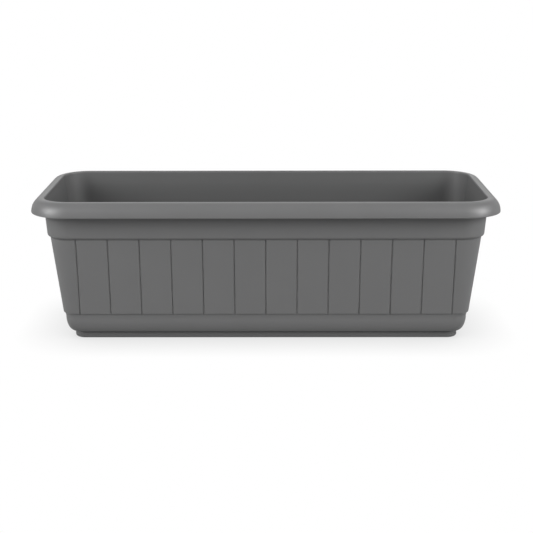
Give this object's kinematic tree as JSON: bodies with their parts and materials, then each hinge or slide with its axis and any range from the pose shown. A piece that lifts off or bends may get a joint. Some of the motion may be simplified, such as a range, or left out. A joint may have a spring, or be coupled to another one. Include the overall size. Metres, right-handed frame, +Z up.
{
  "type": "rectangular planter",
  "caption": "Long rectangular plastic planter with a rolled lip, a plain collar, board-grooved sides, removable drain plugs and a pegged drip tray.",
  "frame": {"origin": "on the ground, under the middle of the planter", "axes": "+X along the planter's length, +Y from its front to its back, +Z up"},
  "size_m": [0.6, 0.248, 0.1888],
  "materials": {
    "shell_plastic": "dark grey moulded plastic, satin with a very fine grain",
    "tray_plastic": "dark grey moulded plastic, satin",
    "plug_plastic": "slightly softer, darker grey plastic, satin"
  },
  "bodies": {
    "tray": {"drip_tray": "tray_plastic"},
    "planter": {"planter_shell": "shell_plastic"},
    "plug_1": {"drain_plug_1": "plug_plastic"},
    "plug_2": {"drain_plug_2": "plug_plastic"},
    "plug_3": {"drain_plug_3": "plug_plastic"},
    "plug_4": {"drain_plug_4": "plug_plastic"},
    "plug_5": {"drain_plug_5": "plug_plastic"},
    "plug_6": {"drain_plug_6": "plug_plastic"}
  },
  "joints": [
    {"name": "planter_lift", "type": "slide", "parent": "tray", "child": "planter", "axis": [0, 0, 1], "range_m": [0, 0.04]},
    {"name": "plug_1_pull", "type": "slide", "parent": "planter", "child": "plug_1", "axis": [0, 0, 1], "range_m": [0, 0.02]},
    {"name": "plug_2_pull", "type": "slide", "parent": "planter", "child": "plug_2", "axis": [0, 0, 1], "range_m": [0, 0.02]},
    {"name": "plug_3_pull", "type": "slide", "parent": "planter", "child": "plug_3", "axis": [0, 0, 1], "range_m": [0, 0.02]},
    {"name": "plug_4_pull", "type": "slide", "parent": "planter", "child": "plug_4", "axis": [0, 0, 1], "range_m": [0, 0.02]},
    {"name": "plug_5_pull", "type": "slide", "parent": "planter", "child": "plug_5", "axis": [0, 0, 1], "range_m": [0, 0.02]},
    {"name": "plug_6_pull", "type": "slide", "parent": "planter", "child": "plug_6", "axis": [0, 0, 1], "range_m": [0, 0.02]}
  ]
}
